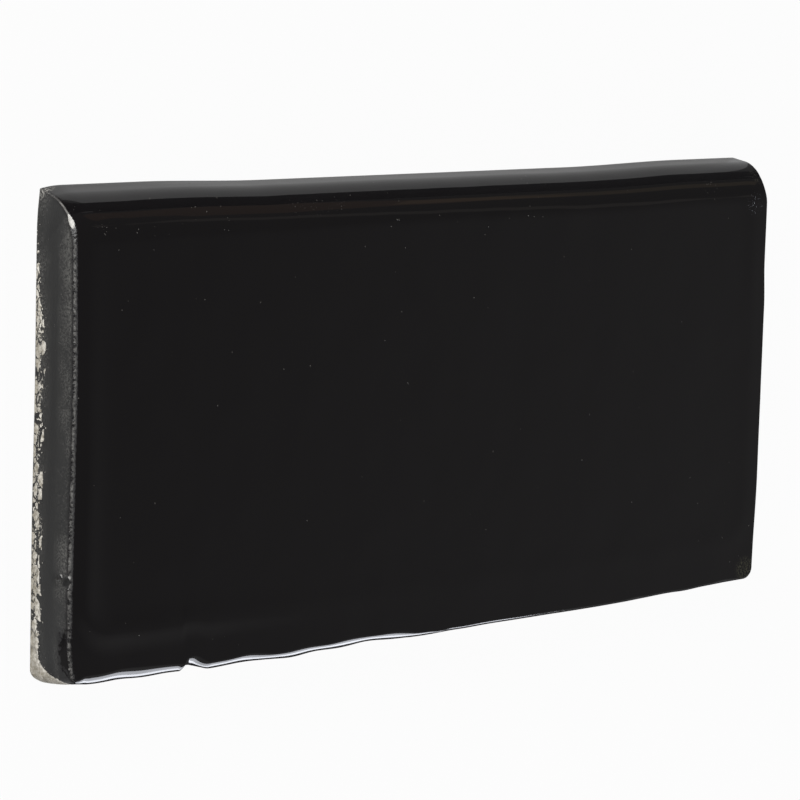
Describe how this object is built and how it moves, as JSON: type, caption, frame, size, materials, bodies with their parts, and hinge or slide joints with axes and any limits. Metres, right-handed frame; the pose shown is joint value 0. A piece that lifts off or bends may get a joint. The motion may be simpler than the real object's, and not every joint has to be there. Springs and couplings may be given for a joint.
{
  "type": "bullnose tile",
  "caption": "Rectangular glazed ceramic wall tile with one long edge rounded over as a bullnose, to finish the exposed top or side of tiling.",
  "frame": {"origin": "centre of the flat back that is bedded on the wall, with the tile lying on its back", "axes": "+X along the rounded edge, +Y across the face towards the rounded edge, +Z out of the glazed face"},
  "size_m": [0.1498, 0.0748, 0.01],
  "materials": {
    "black_glaze": "gloss"
  },
  "bodies": {
    "root": {"bullnose_tile": "black_glaze"}
  },
  "joints": []
}
